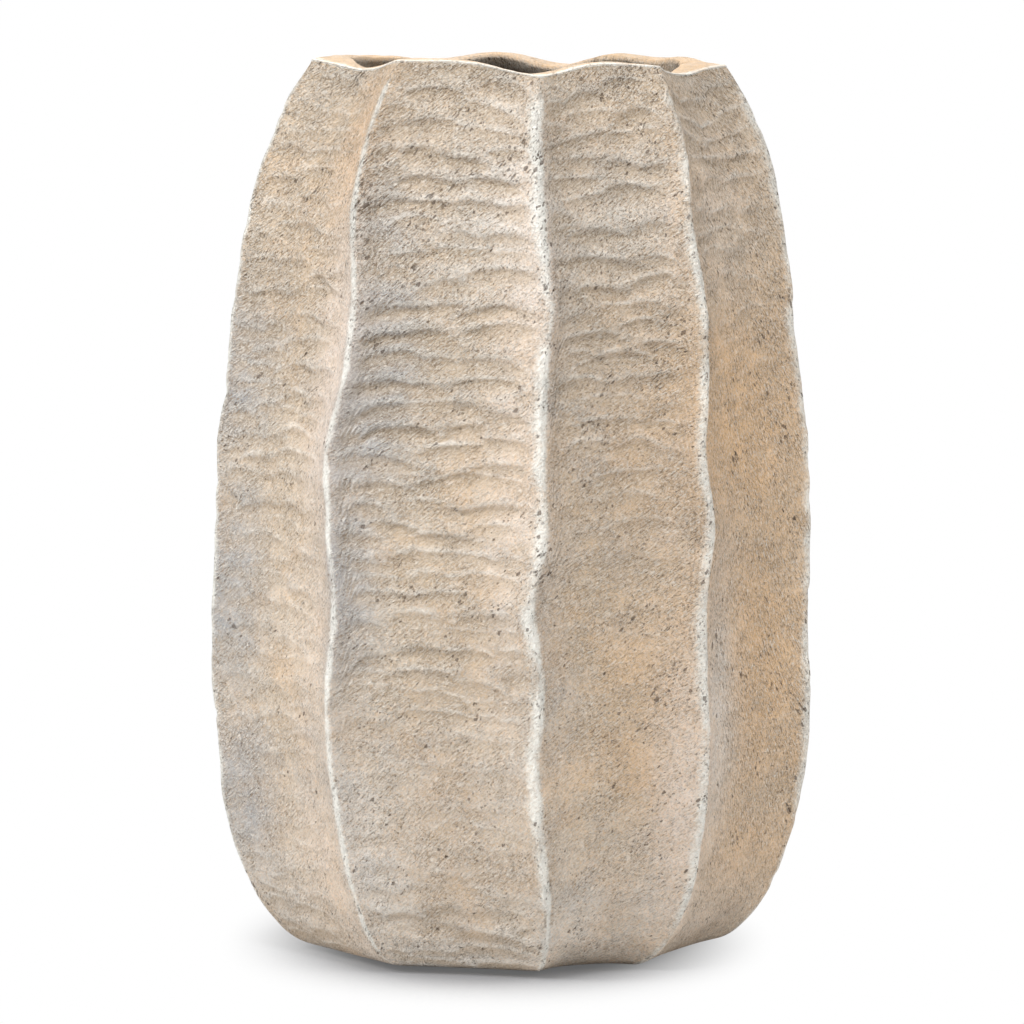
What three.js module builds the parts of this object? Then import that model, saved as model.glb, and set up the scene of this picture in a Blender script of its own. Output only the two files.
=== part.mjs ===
// A tall floor planter of rough fired clay: a barrel with nine wandering upright ribs,
// hollow scooped panels between them, a wavy rim, a drain hole with a rubber stopper
// lifted out from inside, and rubber pads under the foot. Millimetres, +Z up, with the
// origin on the floor under the middle of the pot. The front, at angle 0, faces -Y,
// and angles grow towards +X.
import * as THREE from 'three';

// Overall sizes
const HEIGHT = 600;              // floor to the mean height of the rim
const FOOT_RADIUS = 134;         // over the ribs, where the pot meets its underside
const BELLY_RADIUS = 207;        // over the ribs, at the widest
const BELLY_HEIGHT = 230;        // floor to the widest place
const RIM_RADIUS = 143;          // over the ribs, at the rim

// Clay
const WALL = 15;                 // behind the deepest line of a panel
const BASE_THICKNESS = 18;
const FLOOR_FILLET = 28;         // inside, where the wall meets the floor
const LIP_ROUND = 6;             // rounding of the rim's two edges
const BELLY_SCOOP = 12;          // how far a panel is hollowed behind a straight line
const RIM_SCOOP = 9;             // the same at the rim
const FOOT_SCOOP_HEIGHT = 130;   // above this a panel has its full hollow
const RIB_ROUND = 1.2;           // how much the sharp edge of a rib is worn down

// Drain hole, stopper and pads
const DRAIN_RADIUS = 12.3;
const WELL_RADIUS = 20;          // shallow well round the hole, for the stopper's flange
const WELL_DEPTH = 4;
const STOPPER_CLEARANCE = 0.3;
const STOPPER_TAPER = 1.5;       // how much the shank's radius shrinks to its lower end
const FLANGE_OVERLAP = 5;        // flange past the edge of the hole, all round
const FLANGE_THICKNESS = 3;
const GRIP_RADIUS = 7;
const GRIP_HEIGHT = 12;
const PAD_RADIUS = 14;
const PAD_THICKNESS = 2;
const PAD_COUNT = 6;
const PAD_RING_RADIUS = 88;

// The ribs, one after another round the pot. Drift is how far a rib wanders sideways and
// swell how far it stands out, both read at even steps from the floor to the rim. A rib
// with no drift wanders by a formula.
const RIBS = [
  { angle: 5, rimRise: -5, drift: [6, 7, 1, -3, 0, -7, 2, 1, 2, 7, 2, 2, 5] },
  { angle: 42, rimRise: 0, drift: [-18, -8, -9, -10, -14, -15, -8, -13, -6, -4, -7, 1, 0] },
  { angle: 82, rimRise: -3.5, swell: [-3, -1, 1, 1, -2, -3, -1, -2, -3, -1, 1, 4, 0] },
  { angle: 124, rimRise: 0 },
  { angle: 166, rimRise: -3 },
  { angle: 206, rimRise: -2.5 },
  { angle: 244, rimRise: 2 },
  { angle: 283, rimRise: 3, swell: [0, 4, 7, 4, 4, 4, 3, 4, 0, 1, 2, 1, 0] },
  { angle: 323, rimRise: 3.7, drift: [3, 7, 4, -1, 1, 6, 0, -2, 10, 13, 5, 4, 10] },
];

// The panels: each lies between the rib of the same place in the list and the next one
const PANELS = [
  { footScoop: 14, rimRise: 1.2 },
  { footScoop: 5, rimRise: -6.7 },
  { footScoop: 6, rimRise: 1.7 },
  { footScoop: 9, rimRise: 2 },
  { footScoop: 4, rimRise: 3 },
  { footScoop: 8, rimRise: 1 },
  { footScoop: 6, rimRise: 3 },
  { footScoop: 0, rimRise: -3 },
  { footScoop: 2, rimRise: 3 },
];

// Wander of the ribs that have no list: two waves over the height
const LONG_WAVE = { length: 260, size: 5 };
const SHORT_WAVE = { length: 115, size: 2.5 };

// Shape of the outline: how square the lower curve is, and how the shoulder turns in
const LOWER_CURVE = 2.25;
const SHOULDER_SHARE = 0.42;
const SHOULDER_POWER = 6;
const RIM_WAVE_START = 0.7;      // share of the height above which the rim's waves begin

// How finely the clay is cut up
const PANEL_STEPS = [0, 0.05, 0.14, 0.3, 0.5, 0.7, 0.86, 0.95];
const LOWER_ROWS = 9;
const UPPER_ROWS = 15;
const INSIDE_ROWS = 11;
const CORNER_STEPS = 3;
const FILLET_STEPS = 4;

const UNDERSIDE = PAD_THICKNESS;
const FLOOR = UNDERSIDE + BASE_THICKNESS;
const WELL_FLOOR = FLOOR - WELL_DEPTH;

const radians = THREE.MathUtils.degToRad;
const mix = THREE.MathUtils.lerp;

// A point at an angle from the front, at a radius and a height
function polar(angle, radius, height) {
  return new THREE.Vector3(radius * Math.sin(angle), -radius * Math.cos(angle), height);
}

// Radius over the ribs at a height
function crestRadius(height) {
  if (height < BELLY_HEIGHT) {
    const up = (height - UNDERSIDE) / (BELLY_HEIGHT - UNDERSIDE);
    const out = (1 - (1 - up) ** LOWER_CURVE) ** (1 / LOWER_CURVE);
    return mix(FOOT_RADIUS, BELLY_RADIUS, out);
  }
  const up = (height - BELLY_HEIGHT) / (HEIGHT - BELLY_HEIGHT);
  const inward = (1 - SHOULDER_SHARE) * up ** 2 + SHOULDER_SHARE * up ** SHOULDER_POWER;
  return mix(BELLY_RADIUS, RIM_RADIUS, inward);
}

// A list of sizes at even steps from the floor to the rim, read smoothly at a height
function readAlong(sizes, height) {
  const line = new THREE.SplineCurve(sizes.map((size, step) => new THREE.Vector2(step, size)));
  return line.getPoint(THREE.MathUtils.clamp(height / HEIGHT, 0, 1)).y;
}

// How far a rib has wandered sideways at a height
function ribDrift(rib, height) {
  if (rib.drift) return readAlong(rib.drift, height);
  const turn = 2 * Math.PI * height;
  return LONG_WAVE.size * Math.sin(turn / LONG_WAVE.length + rib.angle)
    + SHORT_WAVE.size * Math.sin(turn / SHORT_WAVE.length + 2 * rib.angle);
}

// Where a rib's edge is at a height
function ribPoint(rib, height) {
  const swell = rib.swell ? readAlong(rib.swell, height) : 0;
  const radius = crestRadius(height) - RIB_ROUND + swell;
  return polar(radians(rib.angle) + ribDrift(rib, height) / radius, radius, height);
}

// How deep a panel is hollowed at a height
function scoopDepth(panel, height) {
  const settled = THREE.MathUtils.smoothstep(height, UNDERSIDE, FOOT_SCOOP_HEIGHT);
  const high = Math.max(0, (height - BELLY_HEIGHT) / (HEIGHT - BELLY_HEIGHT));
  return mix(panel.footScoop, mix(BELLY_SCOOP, RIM_SCOOP, high), settled);
}

// Every upright line of points round the pot: which panel it is in, and how far across
const COLUMNS = RIBS.flatMap((rib, place) => PANEL_STEPS.map((across) => ({
  left: rib,
  right: RIBS[(place + 1) % RIBS.length],
  panel: PANELS[place],
  across,
})));

// The angle of an upright line where the ribs don't count: inside and underneath
function columnAngle(column) {
  const turn = (column.right.angle - column.left.angle + 360) % 360;
  return radians(column.left.angle + turn * column.across);
}

// How far the rim rises above its mean height on an upright line
function rimRise(column) {
  const middle = Math.sin(Math.PI * column.across) ** 2;
  return mix(mix(column.left.rimRise, column.right.rimRise, column.across), column.panel.rimRise, middle);
}

// A point of the outer face on an upright line, before the rim's waves
function outerPoint(column, height) {
  const from = ribPoint(column.left, height);
  const to = ribPoint(column.right, height);
  const inward = new THREE.Vector3(from.y - to.y, to.x - from.x, 0).normalize();
  const hollow = scoopDepth(column.panel, height) * (1 - Math.abs(2 * column.across - 1) ** 2.4);
  return from.lerp(to, column.across).addScaledVector(inward, hollow);
}

// The round hollow inside: a wall's thickness behind the deepest lines of the panels
function insideRadius(height) {
  const high = Math.max(0, (height - BELLY_HEIGHT) / (HEIGHT - BELLY_HEIGHT));
  const panelRadius = crestRadius(height) * Math.cos(Math.PI / RIBS.length);
  return panelRadius - mix(BELLY_SCOOP, RIM_SCOOP, high) - WALL;
}

// The rim's waves lift a height on an upright line, more and more towards the rim
function withRimWave(column, height) {
  return height + rimRise(column) * THREE.MathUtils.smoothstep(height / HEIGHT, RIM_WAVE_START, 1);
}

// Rings of points, each one closed round the pot, that follow the clay's skin from the
// underside up the outer face, over the rim, down the inside and out through the drain
function skinRings() {
  const rings = [];
  const addRing = (pointOnColumn) => rings.push(COLUMNS.map(pointOnColumn));
  const outerRow = (height) => addRing((column) => {
    const point = outerPoint(column, height);
    return point.setZ(withRimWave(column, height));
  });
  const innerRow = (radius, height) => addRing((column) => polar(columnAngle(column), radius, height));

  for (let row = 0; row < LOWER_ROWS; row++) {
    outerRow(mix(UNDERSIDE, BELLY_HEIGHT, (row / LOWER_ROWS) ** 2));
  }
  const lipStart = HEIGHT - LIP_ROUND;
  for (let row = 0; row < UPPER_ROWS; row++) {
    outerRow(mix(BELLY_HEIGHT, lipStart, row / UPPER_ROWS));
  }

  const mouthRadius = insideRadius(lipStart);
  const lipRow = (fromOuter, turn) => addRing((column) => {
    const outer = outerPoint(column, lipStart).setZ(0);
    const inner = polar(columnAngle(column), mouthRadius, 0);
    const start = fromOuter ? outer : inner;
    const across = (fromOuter ? inner.sub(start) : outer.sub(start)).normalize();
    const point = start.clone().addScaledVector(across, LIP_ROUND * (1 - Math.cos(turn)));
    return point.setZ(withRimWave(column, lipStart) + LIP_ROUND * Math.sin(turn));
  });
  for (let step = 0; step <= CORNER_STEPS; step++) lipRow(true, (Math.PI / 2) * (step / CORNER_STEPS));
  for (let step = CORNER_STEPS; step >= 0; step--) lipRow(false, (Math.PI / 2) * (step / CORNER_STEPS));

  const filletTop = FLOOR + FLOOR_FILLET;
  for (let row = 1; row < INSIDE_ROWS; row++) {
    const height = mix(lipStart, filletTop, row / INSIDE_ROWS);
    addRing((column) => polar(columnAngle(column), insideRadius(height), withRimWave(column, height)));
  }
  const filletRadius = insideRadius(filletTop);
  for (let step = 0; step <= FILLET_STEPS; step++) {
    const turn = (Math.PI / 2) * (step / FILLET_STEPS);
    innerRow(filletRadius - FLOOR_FILLET * (1 - Math.cos(turn)), filletTop - FLOOR_FILLET * Math.sin(turn));
  }
  innerRow(WELL_RADIUS, FLOOR);
  innerRow(WELL_RADIUS, WELL_FLOOR);
  innerRow(DRAIN_RADIUS, WELL_FLOOR);
  innerRow(DRAIN_RADIUS, UNDERSIDE);
  return rings;
}

// Joins each ring to the next, and the last to the first, into one closed skin
function skinOf(rings) {
  const around = rings[0].length;
  const indices = [];
  rings.forEach((ring, place) => {
    const here = place * around;
    const above = ((place + 1) % rings.length) * around;
    for (let step = 0; step < around; step++) {
      const next = (step + 1) % around;
      indices.push(here + step, here + next, above + next);
      indices.push(here + step, above + next, above + step);
    }
  });
  const geometry = new THREE.BufferGeometry();
  const positions = rings.flat().flatMap((point) => point.toArray());
  geometry.setAttribute('position', new THREE.Float32BufferAttribute(positions, 3));
  geometry.setIndex(indices);
  geometry.computeVertexNormals();
  return geometry;
}

const clay = new THREE.MeshStandardMaterial({ color: 0xc4b19c, roughness: 0.95, metalness: 0 });
const rubber = new THREE.MeshStandardMaterial({ color: 0x3a3835, roughness: 0.7, metalness: 0 });

function namedMesh(name, geometry, material) {
  const mesh = new THREE.Mesh(geometry, material);
  mesh.name = name;
  return mesh;
}

// The one piece of fired clay: foot, wall, ribs, rim and floor
function planterBody() {
  return namedMesh('planter_body', skinOf(skinRings()), clay);
}

// The rubber stopper, pressed down into the drain hole from inside, with its flange in
// the well and a grip to pull it out by. The lathe turns about Y, so it is stood up.
function drainStopper() {
  const shankTop = DRAIN_RADIUS - STOPPER_CLEARANCE;
  const shankLength = WELL_FLOOR - UNDERSIDE - STOPPER_CLEARANCE;
  const gripWaist = GRIP_RADIUS - 2;
  const gripTop = FLANGE_THICKNESS + GRIP_HEIGHT;
  const outline = [
    [0, -shankLength],
    [shankTop - STOPPER_TAPER, -shankLength],
    [shankTop, -STOPPER_TAPER],
    [shankTop, 0],
    [DRAIN_RADIUS + FLANGE_OVERLAP, 0],
    [DRAIN_RADIUS + FLANGE_OVERLAP, FLANGE_THICKNESS],
    [gripWaist, FLANGE_THICKNESS],
    [gripWaist, gripTop - GRIP_RADIUS],
    [GRIP_RADIUS, gripTop - GRIP_RADIUS / 2],
    [gripWaist, gripTop],
    [0, gripTop],
  ];
  const geometry = new THREE.LatheGeometry(outline.map(([radius, up]) => new THREE.Vector2(radius, up)), 32);
  const mesh = namedMesh('drain_plug', geometry, rubber);
  mesh.rotation.x = Math.PI / 2;
  mesh.position.z = WELL_FLOOR;
  return mesh;
}

// A round rubber pad stuck to the underside
function footPad(number) {
  const disc = new THREE.CylinderGeometry(PAD_RADIUS, PAD_RADIUS, PAD_THICKNESS, 24);
  const mesh = namedMesh(`foot_pad_${number}`, disc, rubber);
  const angle = radians(360 / PAD_COUNT) * (number - 0.5);
  mesh.rotation.x = Math.PI / 2;
  mesh.position.copy(polar(angle, PAD_RING_RADIUS, PAD_THICKNESS / 2));
  return mesh;
}

const planter = new THREE.Group();
planter.add(planterBody(), drainStopper());
for (let number = 1; number <= PAD_COUNT; number++) planter.add(footPad(number));

export default planter;
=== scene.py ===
import math

import bpy
import numpy as np
from bpy.props import FloatProperty, FloatVectorProperty, IntProperty, PointerProperty
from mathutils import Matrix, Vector, noise


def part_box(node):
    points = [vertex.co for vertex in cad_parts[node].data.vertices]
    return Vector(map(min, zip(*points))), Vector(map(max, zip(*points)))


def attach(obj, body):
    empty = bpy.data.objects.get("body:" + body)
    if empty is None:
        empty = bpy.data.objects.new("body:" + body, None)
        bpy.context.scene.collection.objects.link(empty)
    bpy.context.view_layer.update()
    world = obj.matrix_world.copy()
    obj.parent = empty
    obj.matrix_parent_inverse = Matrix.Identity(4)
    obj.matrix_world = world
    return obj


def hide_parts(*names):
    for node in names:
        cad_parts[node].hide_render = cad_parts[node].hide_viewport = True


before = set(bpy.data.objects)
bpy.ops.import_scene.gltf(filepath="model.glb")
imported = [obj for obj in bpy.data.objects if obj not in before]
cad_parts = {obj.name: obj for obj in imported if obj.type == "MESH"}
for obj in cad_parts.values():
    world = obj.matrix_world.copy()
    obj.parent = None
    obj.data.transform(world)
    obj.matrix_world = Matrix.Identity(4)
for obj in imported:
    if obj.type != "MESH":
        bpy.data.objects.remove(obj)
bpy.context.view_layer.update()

bl_info = {
    "name": "Carved clay planter",
    "version": (1, 0, 0),
    "blender": (4, 5, 0),
    "location": "View3D > Sidebar > Planter",
    "description": "Models a tall ribbed planter of rough fired clay, with its drain stopper and pads",
    "category": "Add Mesh",
}

MM = 0.001
POT_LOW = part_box("planter_body")[0]
STOPPER_LOW, STOPPER_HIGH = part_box("drain_plug")
PAD_NODES = sorted(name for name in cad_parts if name.startswith("foot_pad_"))
PAD_LOW, PAD_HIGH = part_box(PAD_NODES[0])

# The ribs one after another round the pot, much as in the solid part, in degrees and
# millimetres. Drift is how far a rib wanders sideways and swell how far it stands out,
# at even steps from the floor to the rim. Worn narrows the chalk and painted highlight on its crest.
RIBS = (
    {"angle": 5, "rim_rise": -5, "drift": (6, 7, 1, -3, 0, -7, 2, 1, 2, 7, 2, 2, 5)},
    {"angle": 42, "rim_rise": 0, "worn": 0.8,
     "drift": (-18, -8, -9, -10, -14, -15, -8, -13, -6, -4, -7, 1, 0)},
    {"angle": 82, "rim_rise": -1.5, "swell": (-3, -1, 1, 1, -2, -3, -1, -2, -3, -1, 1, 4, 2.5)},
    {"angle": 124, "rim_rise": 0},
    {"angle": 166, "rim_rise": -5.5, "drift": (0, -1, -7, 2, 3, 4, -1, -7, 1, 2, 4, -6, -12)},
    {"angle": 206, "rim_rise": -2.5},
    {"angle": 244, "rim_rise": 2},
    {"angle": 283, "rim_rise": 3, "swell": (0, 4, 7, 4, 4, 4, 3, 4, 0, 1, 2, 1, 0)},
    {"angle": 323, "rim_rise": 3.7, "worn": 0.65,
     "drift": (11, 7, 4, -1, 1, 6, 0, -2, 10, 13, 5, 4, 10)},
)
# How a rib without a drift of its own wanders: the way and the length of two waves, in
# millimetres
PLAIN_WAVES = ((5, 260), (2.5, 115))

# The panels, each between the rib of the same place and the next one, in millimetres and
# degrees. Foot scoop is its hollow at the ground and rim rise how far the rim stands up
# there. Marks is how strongly it is gouged, at even steps from the floor to the rim, calm
# how far from its right rib the gouges fade out, and grain the lean of its scratches. Pale
# mouth is how far below the rim the painted shade of the inside starts.
PANELS = (
    {"foot_scoop": 14, "rim_rise": 1.2, "grain": 35, "marks": (0.15, 0.1, 0.15, 0.45, 0.9, 1.1, 1.2)},
    {"foot_scoop": 5, "rim_rise": -6.7, "pale_mouth": 14, "grain": -55,
     "marks": (0.15, 0.15, 0.15, 0.12, 0.25, 0.8, 1.05)},
    {"foot_scoop": 6, "rim_rise": 1.7, "pale_mouth": 14, "grain": 40,
     "marks": (0.2, 0.3, 0.5, 0.8, 1, 1, 0.9)},
    {"foot_scoop": 9, "rim_rise": 2, "pale_mouth": 14, "grain": 50,
     "marks": (0.1, 0.2, 0.3, 0.6, 0.9, 1, 1)},
    {"foot_scoop": 4, "rim_rise": 3, "grain": -40, "marks": (0.2, 0.4, 0.7, 0.9, 1, 0.9, 0.8)},
    {"foot_scoop": 8, "rim_rise": 1, "pale_mouth": 6, "grain": 45,
     "marks": (0.1, 0.1, 0.2, 0.5, 0.8, 1, 1)},
    {"foot_scoop": 6, "rim_rise": 3, "pale_mouth": 9, "grain": -50,
     "marks": (0.2, 0.3, 0.6, 0.8, 1, 0.9, 0.7)},
    {"foot_scoop": 0, "rim_rise": -3, "calm": 60, "grain": 45,
     "marks": (0.9, 0.35, 0.55, 0.8, 1.05, 1, 0.95)},
    {"foot_scoop": 2, "rim_rise": 3, "grain": 45, "marks": (1.1, 0.35, 0.7, 1, 1.2, 1.2, 1.25)},
)
USUAL_CALM, USUAL_PALE_MOUTH = 20, 2.5

# Soft patches of colour on the clay, some of them also painted light and shade: panel, share
# of the way across it, height, half width and half height in millimetres, and strength
# Grey kiln bloom, and painted shade on flanks facing away from the key lamp and low on panel 8
SMOKE_AND_SHADE_PATCHES = (
    (8, 0.08, 500, 34, 50, 0.9),
    (8, 0.10, 390, 38, 90, 1.25),
    (8, 0.06, 270, 26, 90, 1.0),
    (8, 0.05, 120, 24, 80, 0.5),
    (8, 0.45, 400, 50, 110, 0.2),
    (8, 0.5, 110, 90, 120, 0.32),
    (0, 0.6, 350, 60, 90, 0.25),
    (0, 0.85, 345, 24, 60, 0.35),
    (8, 0.6, 240, 60, 80, 0.18),
    (7, 0.1, 390, 36, 60, 0.9),
    (7, 0.1, 250, 36, 90, 0.9),
    (7, 0.15, 110, 36, 70, 0.9),
    (8, 0.85, 200, 30, 90, 0.3),
    (7, 0.7, 120, 36, 60, 0.35),
    (0, 0.06, 440, 24, 110, 0.4),
    (0, 0.06, 230, 26, 100, 0.4),
)
OCHRE_PATCHES = (
    (1, 0.4, 370, 110, 120, 1.0),
    (1, 0.4, 200, 110, 120, 1.0),
    (1, 0.5, 70, 80, 60, 0.7),
    (1, 0.4, 510, 80, 60, 0.6),
    (1, 0.06, 250, 26, 170, 0.7),
    (7, 0.85, 540, 34, 60, 0.9),
    (7, 0.75, 60, 40, 50, 0.4),
    (8, 0.45, 90, 50, 60, 0.12),
    (0, 0.25, 300, 30, 90, 0.2),
    (0, 0.5, 560, 50, 30, 0.3),
    (7, 0.5, 520, 60, 70, 0.2),
    (8, 0.3, 540, 40, 40, 0.2),
)
# Chalky bloom near the foot, and painted light high on the front panels and on panel 1's shaded flank
BLOOM_AND_LIGHT_PATCHES = (
    (8, 0.12, 60, 30, 80, 0.5),
    (8, 0.4, 6, 110, 20, 0.7),
    (8, 0.65, 510, 70, 60, 0.48),
    (0, 0.5, 510, 60, 60, 0.42),
    (1, 0.2, 175, 30, 90, 0.7),
    (1, 0.4, 500, 50, 60, 0.35),
    (0, 0.3, 30, 100, 50, 0.4),
    (7, 0.6, 40, 90, 50, 0.35),
    (1, 0.3, 30, 80, 40, 0.3),
)
TORN_PATCHES = tuple((panel, 0.5, 592, 90, 20, 0.9) for panel in range(len(PANELS))) + (
    (8, 0.06, 520, 26, 60, 0.9),
    (8, 0.75, 540, 30, 30, 0.6),
    (7, 0.2, 480, 40, 70, 0.6),
    (0, 0.1, 560, 30, 40, 0.6),
    (0, 0.8, 420, 30, 60, 0.5),
    (1, 0.8, 400, 30, 90, 0.5),
    (1, 0.4, 250, 110, 220, 0.4),
)
# Pink clay, and painted light on the flanks that face the key lamp
BLUSH_AND_HIGHLIGHT_PATCHES = (
    (8, 0.88, 480, 26, 90, 1.0),
    (8, 0.87, 340, 26, 100, 0.65),
    (8, 0.85, 180, 26, 70, 0.15),
    (7, 0.85, 400, 30, 120, 0.85),
    (7, 0.8, 220, 34, 90, 0.45),
    (7, 0.8, 90, 34, 60, 0.3),
    (0, 0.88, 500, 24, 70, 0.35),
    (0, 0.9, 300, 22, 100, 0.15),
    (0, 0.88, 120, 26, 90, 0.9),
)


# The patches of each colour, with the seed and number of those on the panels at the back
PATCHES = {
    "smoke": (SMOKE_AND_SHADE_PATCHES, 21, 12),
    "ochre": (OCHRE_PATCHES, 22, 12),
    "blush": (BLUSH_AND_HIGHLIGHT_PATCHES, 23, 10),
    "bloom": (BLOOM_AND_LIGHT_PATCHES, 25, 6),
    "torn": (TORN_PATCHES, 24, 8),
}
BACK_PANELS = range(2, 7)

# The lamps: where each one hangs and the length of its side, in metres. They all point at
# the lit place.
LAMPS = {
    "top": ((-0.5, -2.1, 3.7), 1.1),
    "key": ((-2.9, -1.4, 2.9), 1.2),
    "fill": ((3.0, -0.8, 1.9), 2.0),
    "back": ((0.8, 3.0, 2.6), 1.6),
}
LIT_PLACE = (0.0, 0.0, 0.3)

# How far apart the panels lie on the flat map that their scratches follow, in metres
MAP_STEP = 0.7

# The stopper's knob: radius, and height over the flange's underside, in millimetres
KNOB = ((7.0, 3.0), (5.4, 3.8), (5.0, 6.5), (5.6, 8.2), (7.0, 10.0), (7.0, 12.4))


def metres(name, default, description):
    return FloatProperty(name=name, description=description, default=default, unit="LENGTH")


def watts(name, default, description):
    return FloatProperty(name=name, description=description, default=default, unit="POWER")


def paint(name, default, description):
    return FloatVectorProperty(name=name, description=description, default=default,
                               subtype="COLOR", size=3, min=0, max=1)


class PlanterShape(bpy.types.PropertyGroup):
    """The sizes of the pot, over its ribs unless they say otherwise"""
    height: metres("Height", 0.600, "Floor to the mean height of the rim")
    foot_radius: metres("Foot radius", 0.134, "Where the pot meets its underside")
    belly_radius: metres("Belly radius", 0.207, "At the widest place")
    belly_height: metres("Belly height", 0.230, "Floor to the widest place")
    rim_radius: metres("Rim radius", 0.143, "At the rim")
    wall: metres("Wall", 0.015, "Clay behind the deepest line of a panel")
    base: metres("Base", 0.018, "Thickness of the floor of the pot")
    fillet: metres("Floor fillet", 0.028, "Inside, where the wall meets the floor")
    belly_scoop: metres("Belly scoop", 0.012, "Hollow of a panel at the belly")
    rim_scoop: metres("Rim scoop", 0.009, "Hollow of a panel at the rim")
    scoop_start: metres("Scoop start", 0.130, "Above this a panel has its full hollow")
    rib_round: metres("Rib rounding", 0.0030, "Half width of the worn edge of a rib")
    drain_radius: metres("Drain radius", 0.0123, "Radius of the drain hole")
    well_radius: metres("Well radius", 0.020, "Shallow well round the drain hole")
    well_depth: metres("Well depth", 0.004, "Depth of that well")


class CarvingMarks(bpy.types.PropertyGroup):
    """The marks that the carver's tool left on the panels"""
    row: metres("Row", 0.0158, "Mean step from one row of gouges to the next")
    reach: metres("Reach", 0.0200, "Height of one gouge")
    length: metres("Length", 0.0205, "Mean half length of a gouge")
    depth: metres("Depth", 0.0027, "Depth of a full gouge")
    seed: IntProperty(name="Seed", description="Another number carves the pot anew", default=11)


class ClayColours(bpy.types.PropertyGroup):
    """The colours of the fired clay, some of them also painted light and shade"""
    light: paint("Light clay", (0.660, 0.553, 0.435), "Pale sandy clay")
    dark: paint("Dark clay", (0.520, 0.410, 0.295), "Browner clay")
    shade: paint("Shade", (0.300, 0.225, 0.155), "Hollows of the grain")
    # Grey of kiln bloom, and of painted shade on the flanks away from the key lamp
    smoke: paint("Smoke", (0.325, 0.333, 0.347), "Grey bloom from the kiln")
    ochre: paint("Ochre", (0.745, 0.478, 0.255), "Warm flushed clay")
    # Pink clay, and painted light on the flanks that face the key lamp
    blush: paint("Blush", (0.790, 0.660, 0.560), "Pinkish clay")
    # Chalky bloom, and painted light high on the front panels and on a shaded flank
    bloom: paint("Bloom", (0.780, 0.755, 0.720), "Chalky bloom on the panels")
    sand: paint("Sand", (0.800, 0.740, 0.660), "Pale grains")
    # Worn clay, and painted highlight on the ribs' lit flanks and the rim's edge
    chalk: paint("Chalk", (0.850, 0.835, 0.775), "Worn edges of the ribs")
    # Painted shade of the pot's inside, darker than its clay
    hollow: paint("Hollow", (0.220, 0.170, 0.125), "Bare clay inside the pot")
    # Painted shade in pits and scratches
    pit: paint("Pits", (0.120, 0.085, 0.060), "Depth of pits and scratches")


class StagePlan(bpy.types.PropertyGroup):
    """The camera of the photograph and the light on the stage"""
    distance: metres("Distance", 4.0, "Camera to the middle of the pot, level")
    eye: metres("Eye", 0.7087, "Height of the camera")
    aim: metres("Aim", 0.2941, "Height that the camera looks at")
    aside: metres("Aside", -0.0015, "Camera's step to the side")
    angle: FloatProperty(name="Angle", description="Camera's angle of view",
                         default=math.radians(9.909), subtype="ANGLE")
    top: watts("Top light", 100.0, "Lamp high over the camera")
    key: watts("Key light", 112.0, "Large lamp on the left")
    fill: watts("Fill light", 45.0, "Soft lamp on the right")
    back: watts("Back light", 60.0, "Soft lamp behind the pot")


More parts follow.
